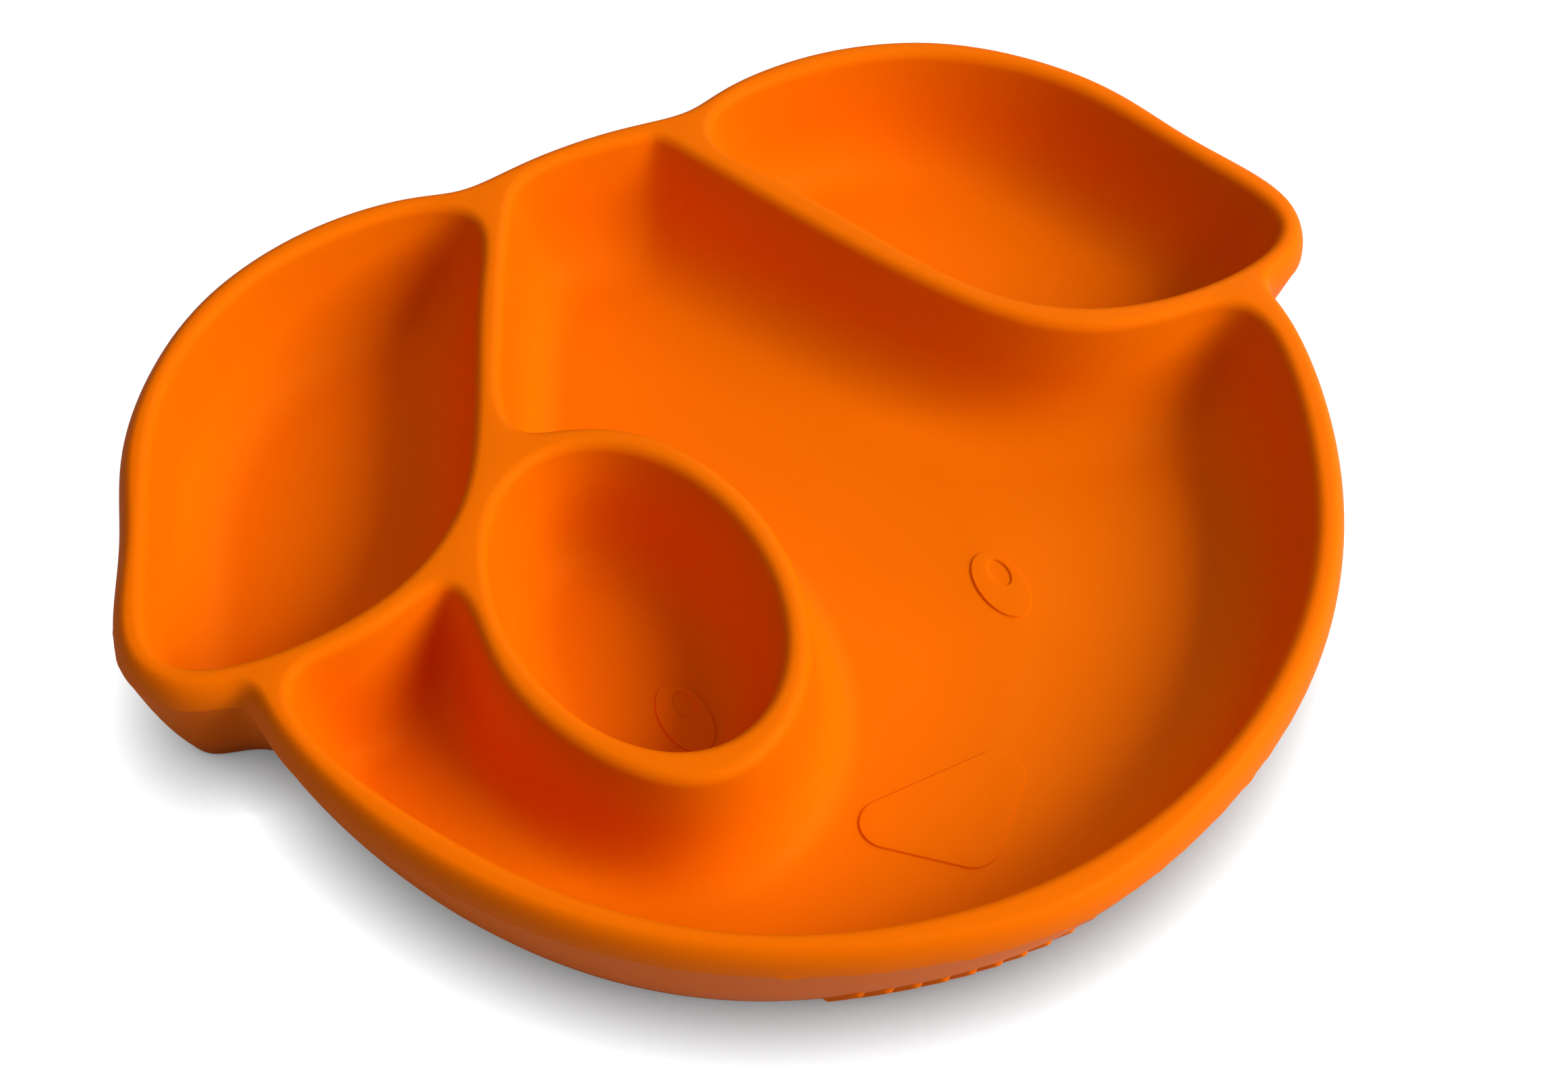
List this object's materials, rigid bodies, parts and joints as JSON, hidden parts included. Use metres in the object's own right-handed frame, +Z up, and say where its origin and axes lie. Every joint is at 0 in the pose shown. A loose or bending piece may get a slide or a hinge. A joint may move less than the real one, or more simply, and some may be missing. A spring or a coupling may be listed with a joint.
{
  "type": "suction plate",
  "caption": "Divided silicone suction plate shaped as a floppy-eared puppy's face, with ear bowls, a face bowl, an oval eye bowl and suction cups beneath.",
  "frame": {"origin": "on the table under the middle of the plate", "axes": "+X across the face towards the ear away from the eye bowl, +Y towards the top of the head, +Z up"},
  "size_m": [0.2534, 0.2028, 0.035],
  "materials": {
    "plate": "satin orange food-grade silicone",
    "cups": "smooth orange silicone"
  },
  "bodies": {
    "plate": {"plate_body": "plate"},
    "front_left_cup": {"cup_front_left": "cups"},
    "front_right_cup": {"cup_front_right": "cups"},
    "back_left_cup": {"cup_back_left": "cups"},
    "back_right_cup": {"cup_back_right": "cups"}
  },
  "joints": [
    {"name": "front_left_squash", "type": "slide", "parent": "plate", "child": "front_left_cup", "axis": [0, 0, 1], "range_m": [0, 0.001], "stiffness_N_per_m": 3000, "springref_m": -0.001, "deforming": ["cup_front_left"]},
    {"name": "front_right_squash", "type": "slide", "parent": "plate", "child": "front_right_cup", "axis": [0, 0, 1], "range_m": [0, 0.001], "stiffness_N_per_m": 3000, "springref_m": -0.001, "deforming": ["cup_front_right"]},
    {"name": "back_left_squash", "type": "slide", "parent": "plate", "child": "back_left_cup", "axis": [0, 0, 1], "range_m": [0, 0.001], "stiffness_N_per_m": 3000, "springref_m": -0.001, "deforming": ["cup_back_left"]},
    {"name": "back_right_squash", "type": "slide", "parent": "plate", "child": "back_right_cup", "axis": [0, 0, 1], "range_m": [0, 0.001], "stiffness_N_per_m": 3000, "springref_m": -0.001, "deforming": ["cup_back_right"]}
  ]
}
